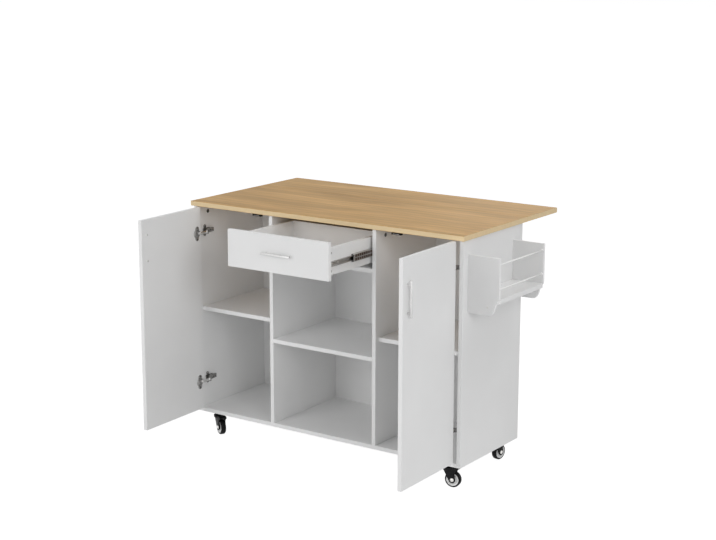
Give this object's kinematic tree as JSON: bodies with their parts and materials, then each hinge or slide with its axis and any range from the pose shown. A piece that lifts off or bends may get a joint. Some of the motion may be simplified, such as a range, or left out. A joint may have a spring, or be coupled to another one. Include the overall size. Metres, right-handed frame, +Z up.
{
  "type": "drop leaf kitchen island",
  "caption": "rolling kitchen island: wooden worktop with a folding rear leaf, open middle shelves under a drawer, a door cupboard each side and an end rack with rails",
  "frame": {"origin": "middle of the footprint in the displayed pose, on the floor", "axes": "+X along the island's length towards the rack, +Y from the front to the back, +Z up"},
  "size_m": [1.3014, 0.9942, 0.905],
  "materials": {
    "white_board": "white laminated board, satin",
    "oak_top": "oak-look laminate with lengthwise grain, semi-gloss",
    "hinge_nickel": "nickel-plated pressed steel",
    "bar_handle": "light satin metal bar",
    "slide_steel": "zinc-plated rolled steel channels",
    "bracket_steel": "zinc-plated folded steel",
    "white_rod": "white painted rod",
    "caster_frame": "black moulding",
    "caster_roller": "black tread round a paler hub"
  },
  "bodies": {
    "cabinet": {"worktop": "oak_top", "side_panel_left": "white_board", "side_panel_right": "white_board", "divider_left": "white_board", "divider_right": "white_board", "bottom_panel": "white_board", "back_panel": "white_board", "side_shelf_left": "white_board", "side_shelf_right": "white_board", "middle_shelf": "white_board", "drawer_shelf": "white_board", "rack_bracket_front": "white_board", "rack_bracket_back": "white_board", "rack_shelf": "white_board", "hinge_arm_left_upper": "hinge_nickel", "hinge_arm_left_lower": "hinge_nickel", "hinge_arm_right_upper": "hinge_nickel", "hinge_arm_right_lower": "hinge_nickel", "slide_outer_left": "slide_steel", "slide_outer_right": "slide_steel", "leaf_wall_bracket_left": "bracket_steel", "leaf_wall_bracket_right": "bracket_steel", "rack_rail_upper": "white_rod", "rack_rail_lower": "white_rod", "towel_bar": "white_rod"},
    "left_door": {"door_left": "white_board", "hinge_cup_left_upper": "hinge_nickel", "hinge_cup_left_lower": "hinge_nickel", "handle_left": "bar_handle"},
    "right_door": {"door_right": "white_board", "hinge_cup_right_upper": "hinge_nickel", "hinge_cup_right_lower": "hinge_nickel", "handle_right": "bar_handle"},
    "left_links": {"hinge_link_left_upper": "hinge_nickel", "hinge_link_left_lower": "hinge_nickel"},
    "right_links": {"hinge_link_right_upper": "hinge_nickel", "hinge_link_right_lower": "hinge_nickel"},
    "drawer": {"drawer_front": "white_board", "drawer_side_left": "white_board", "drawer_side_right": "white_board", "drawer_back": "white_board", "drawer_bottom": "white_board", "drawer_handle": "bar_handle", "slide_inner_left": "slide_steel", "slide_inner_right": "slide_steel"},
    "slide_middles": {"slide_middle_left": "slide_steel", "slide_middle_right": "slide_steel"},
    "drop_leaf": {"leaf": "oak_top", "leaf_arm_left": "bracket_steel", "leaf_arm_right": "bracket_steel"},
    "leaf_braces": {"leaf_brace_left": "bracket_steel", "leaf_brace_right": "bracket_steel"},
    "front_left_fork": {"caster_fork_front_left": "caster_frame"},
    "front_left_wheel": {"caster_wheel_front_left": "caster_roller"},
    "front_right_fork": {"caster_fork_front_right": "caster_frame"},
    "front_right_wheel": {"caster_wheel_front_right": "caster_roller"},
    "back_left_fork": {"caster_fork_back_left": "caster_frame"},
    "back_left_wheel": {"caster_wheel_back_left": "caster_roller"},
    "back_right_fork": {"caster_fork_back_right": "caster_frame"},
    "back_right_wheel": {"caster_wheel_back_right": "caster_roller"}
  },
  "joints": [
    {"name": "left_door_hinge", "type": "hinge", "parent": "cabinet", "child": "left_door", "pos_m": [-0.62895, -0.16107, 0.495], "axis": [0, 0, -1], "range_deg": [-88.5, 6.5]},
    {"name": "right_door_hinge", "type": "hinge", "parent": "cabinet", "child": "right_door", "pos_m": [0.51445, -0.16107, 0.495], "axis": [0, 0, 1], "range_deg": [-91, 4]},
    {"name": "left_hinge_links", "type": "hinge", "parent": "cabinet", "child": "left_links", "pos_m": [-0.60095, -0.13387, 0.495], "axis": [0, 0, -1], "range_deg": [-88.5, 6.5]},
    {"name": "right_hinge_links", "type": "hinge", "parent": "cabinet", "child": "right_links", "pos_m": [0.48645, -0.13387, 0.495], "axis": [0, 0, 1], "range_deg": [-91, 4]},
    {"name": "drawer_slide", "type": "slide", "parent": "cabinet", "child": "drawer", "axis": [0, -1, 0], "range_m": [-0.256, 0.094]},
    {"name": "slide_middle_travel", "type": "slide", "parent": "cabinet", "child": "slide_middles", "axis": [0, -1, 0], "range_m": [-0.128, 0.047]},
    {"name": "leaf_fold", "type": "hinge", "parent": "cabinet", "child": "drop_leaf", "pos_m": [-0.05725, 0.27263, 0.88], "axis": [-1, 0, 0], "range_deg": [0, 90]},
    {"name": "leaf_brace_fold", "type": "hinge", "parent": "cabinet", "child": "leaf_braces", "pos_m": [-0.05725, 0.27263, 0.8], "axis": [-1, 0, 0], "range_deg": [0, 131.9]},
    {"name": "front_left_swivel", "type": "hinge", "parent": "cabinet", "child": "front_left_fork", "pos_m": [-0.57225, -0.11487, 0.06], "axis": [0, 0, 1], "continuous": true},
    {"name": "front_left_roll", "type": "hinge", "parent": "front_left_fork", "child": "front_left_wheel", "pos_m": [-0.55476, -0.12457, 0.029], "axis": [0.4848, 0.8746, 0], "continuous": true},
    {"name": "front_right_swivel", "type": "hinge", "parent": "cabinet", "child": "front_right_fork", "pos_m": [0.45775, -0.11487, 0.06], "axis": [0, 0, 1], "continuous": true},
    {"name": "front_right_roll", "type": "hinge", "parent": "front_right_fork", "child": "front_right_wheel", "pos_m": [0.47738, -0.11106, 0.029], "axis": [-0.1908, 0.9816, 0], "continuous": true},
    {"name": "back_left_swivel", "type": "hinge", "parent": "cabinet", "child": "back_left_fork", "pos_m": [-0.57225, 0.21413, 0.06], "axis": [0, 0, 1], "continuous": true},
    {"name": "back_left_roll", "type": "hinge", "parent": "back_left_fork", "child": "back_left_wheel", "pos_m": [-0.56225, 0.23145, 0.029], "axis": [-0.866, 0.5, 0], "continuous": true},
    {"name": "back_right_swivel", "type": "hinge", "parent": "cabinet", "child": "back_right_fork", "pos_m": [0.45775, 0.21413, 0.06], "axis": [0, 0, 1], "continuous": true},
    {"name": "back_right_roll", "type": "hinge", "parent": "back_right_fork", "child": "back_right_wheel", "pos_m": [0.46122, 0.23382, 0.029], "axis": [-0.9848, 0.1736, 0], "continuous": true}
  ],
  "couplings": [
    {"joint": "left_hinge_links", "follows": "left_door_hinge", "ratio": 1},
    {"joint": "right_hinge_links", "follows": "right_door_hinge", "ratio": 1},
    {"joint": "slide_middle_travel", "follows": "drawer_slide", "ratio": 0.5},
    {"joint": "leaf_brace_fold", "follows": "leaf_fold", "ratio": 1.4646}
  ]
}
